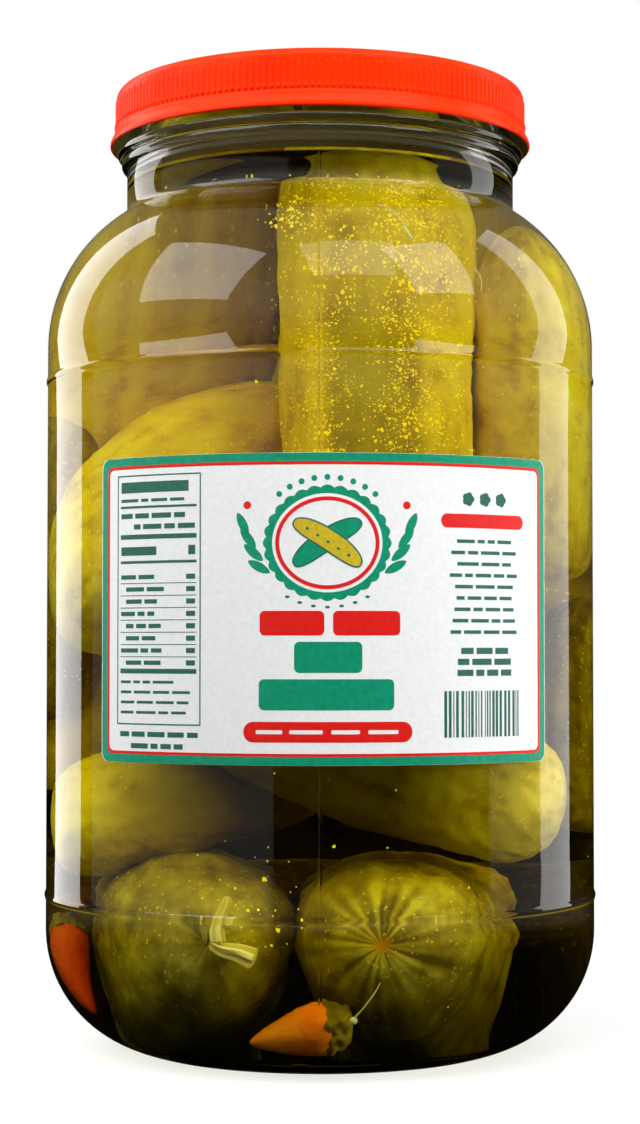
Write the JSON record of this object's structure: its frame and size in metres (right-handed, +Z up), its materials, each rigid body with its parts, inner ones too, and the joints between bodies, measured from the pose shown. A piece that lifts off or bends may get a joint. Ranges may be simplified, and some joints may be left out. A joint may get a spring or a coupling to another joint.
{
  "type": "pickle jar",
  "caption": "Large glass jar of whole pickles in brine, with a ribbed screw lid, a round shoulder and a label wrapped round its front.",
  "frame": {"origin": "centre of the ring that the jar stands on, on the floor plane", "axes": "+Z up along the jar's axis to the lid; -Y towards the front, where the label lies; +X to the label's right as it is read"},
  "size_m": [0.1548, 0.1548, 0.2685],
  "materials": {
    "glass": "clear, smooth",
    "brine": "clear yellow-green liquid",
    "lid_plastic": "satin gloss",
    "label_paper": "coated paper"
  },
  "bodies": {
    "root": {"jar_glass": "glass", "brine": "brine", "lid": "lid_plastic", "label": "label_paper"}
  },
  "joints": []
}
